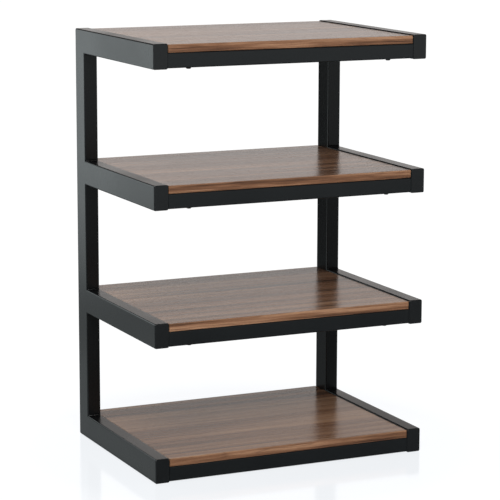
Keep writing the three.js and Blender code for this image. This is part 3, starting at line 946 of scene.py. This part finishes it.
def sky():
    """Soft studio light: plain white to the camera and soft from all round, brightest near the horizon.

    Glossy rays see a graded room: a product of fades over the direction's Y, Z and X, pale low behind the
    rack and at its right, and dim in front, overhead and at the left.
    """
    world = bpy.data.worlds.new("studio")
    bpy.context.scene.world = world
    world.use_nodes = True
    tree = world.node_tree
    tree.nodes.clear()
    direction = tree.nodes.new("ShaderNodeTexCoord").outputs["Generated"]
    x, y, z = add(tree, "ShaderNodeSeparateXYZ", {0: direction}).outputs
    ray = tree.nodes.new("ShaderNodeLightPath").outputs
    glossy = ray["Is Glossy Ray"]
    height = times(tree, span(tree, z, *STUDIO_CEILING), span(tree, z, *STUDIO_HORIZON))
    mirrored = times(tree, times(tree, span(tree, y, *STUDIO_DEPTH), height), glossy)
    mirrored = times(tree, mirrored, span(tree, x, *STUDIO_SIDE))
    soft = times(tree, minus(tree, 1.0, glossy), span(tree, z, *STUDIO_SOFT))
    tint = blend(tree, glossy, STUDIO_SOFT_COLOUR, STUDIO_GLOSS_COLOUR)
    lit = add(tree, "ShaderNodeBackground", {"Color": tint, "Strength": plus(tree, mirrored, soft)})
    seen = add(tree, "ShaderNodeBackground", {"Color": WHITE, "Strength": 1.0})
    mixed = mix_shaders(tree, ray["Is Camera Ray"], lit.outputs[0], seen.outputs[0])
    output = tree.nodes.new("ShaderNodeOutputWorld")
    tree.links.new(mixed, output.inputs["Surface"])


def aim(obj, right, up, back, place):
    """Puts an object at a place, with its own X to the right, its Y up and its Z backwards."""
    rows = np.eye(4)
    rows[:3, :3] = np.stack([right, up, back], -1)
    rows[:3, 3] = place
    obj.matrix_world = Matrix(rows.tolist())


def softbox(name, place, size, power):
    """A rectangular lamp that faces the middle of the rack and that the camera doesn't see."""
    light = bpy.data.lights.new(name, "AREA")
    light.shape = "RECTANGLE"
    light.size = size[0]
    light.size_y = size[1]
    light.energy = power
    obj = in_scene(name, light)
    back = np.asarray(place, float) - SOFTBOX_AIM
    back /= np.linalg.norm(back)
    right = np.cross((0, 0, 1), back)
    right /= np.linalg.norm(right)
    aim(obj, right, np.cross(back, right), back, place)
    obj.visible_camera = False


def camera():
    """The photograph's viewpoint: turned 24.9 degrees from the left, 10.3 degrees down, from 4.6 m away.

    Ahead is (sin yaw cos pitch, cos yaw cos pitch, -sin pitch), and the roll turns right and up round it.
    """
    yaw, pitch, roll = CAMERA_YAW, CAMERA_PITCH, CAMERA_ROLL
    ahead = np.array([math.sin(yaw) * math.cos(pitch), math.cos(yaw) * math.cos(pitch), -math.sin(pitch)])
    level = np.array([math.cos(yaw), -math.sin(yaw), 0])
    upright = np.cross(level, ahead)
    right = math.cos(roll) * level + math.sin(roll) * upright
    up = math.cos(roll) * upright - math.sin(roll) * level
    data = bpy.data.cameras.new("camera")
    data.sensor_width = SENSOR_WIDTH
    data.lens = FOCAL_PIXELS / PHOTO_PIXELS * SENSOR_WIDTH
    data.clip_end = CLIP_END
    obj = in_scene("camera", data)
    aim(obj, right, up, -ahead, CAMERA_PLACE)
    bpy.context.scene.camera = obj


# Finishes

coat = coat_texture()
grain = walnut_grain()
frame_black = coat_material("satin black powder coat", coat, base=(0.0022, 0.0027, 0.0031, 1),
                            roughness=0.27, peel=0.22, specular=0.42)
rail_black = coat_material("rail powder coat", coat, base=(0.0045, 0.0062, 0.0074, 1),
                           roughness=0.34, peel=0.25, specular=0.52)
cap_black = coat_material("moulded cap plastic", coat, base=(0.0040, 0.0052, 0.0062, 1),
                          roughness=0.34, peel=0.40, specular=0.58)
screw_black = coat_material("black oxide steel", coat, base=(0.02, 0.02, 0.022, 1),
                            roughness=0.38, peel=0.12, specular=0.5, metallic=0.6)
board_wood = wood_material("walnut board", grain, turn=(0, 0, 0), scale=(1, 1, 3),
                           dark=(0.056, 0.026, 0.015, 1), middle=(0.228, 0.113, 0.060, 1),
                           light=(0.440, 0.255, 0.150, 1),
                           roughness=0.22, specular=0.42, figure=0.32, pores=0.32)
edging_wood = wood_material("walnut edging", grain, turn=(QUARTER_TURN, 0, 0), scale=(5, 7, 3.5),
                            dark=(0.060, 0.024, 0.012, 1), middle=(0.240, 0.110, 0.053, 1),
                            light=(0.458, 0.246, 0.138, 1),
                            roughness=0.42, specular=0.35, figure=0.50, pores=0.70)

# Rack

for side, sign in SIDES.items():
    side_frame(side, sign, frame_black)
    for n in LEVELS:
        end_cap(side, n, cap_black)
for n in LEVELS:
    shelf_board(n, board_wood)
    front_edging(n, edging_wood)
    for row in ROWS:
        cross_rail(row, n, rail_black)
        for side in SIDES:
            screw(row, side, n, screw_black)

floor()
side_panel()
sky()
softbox("top softbox", place=(-0.8, -0.6, 3.4), size=(2.6, 2.6), power=6)
softbox("front softbox", place=(-1.4, -3.2, 2.9), size=(2.4, 2.0), power=112)
camera()
bpy.context.scene.view_settings.view_transform = "Standard"
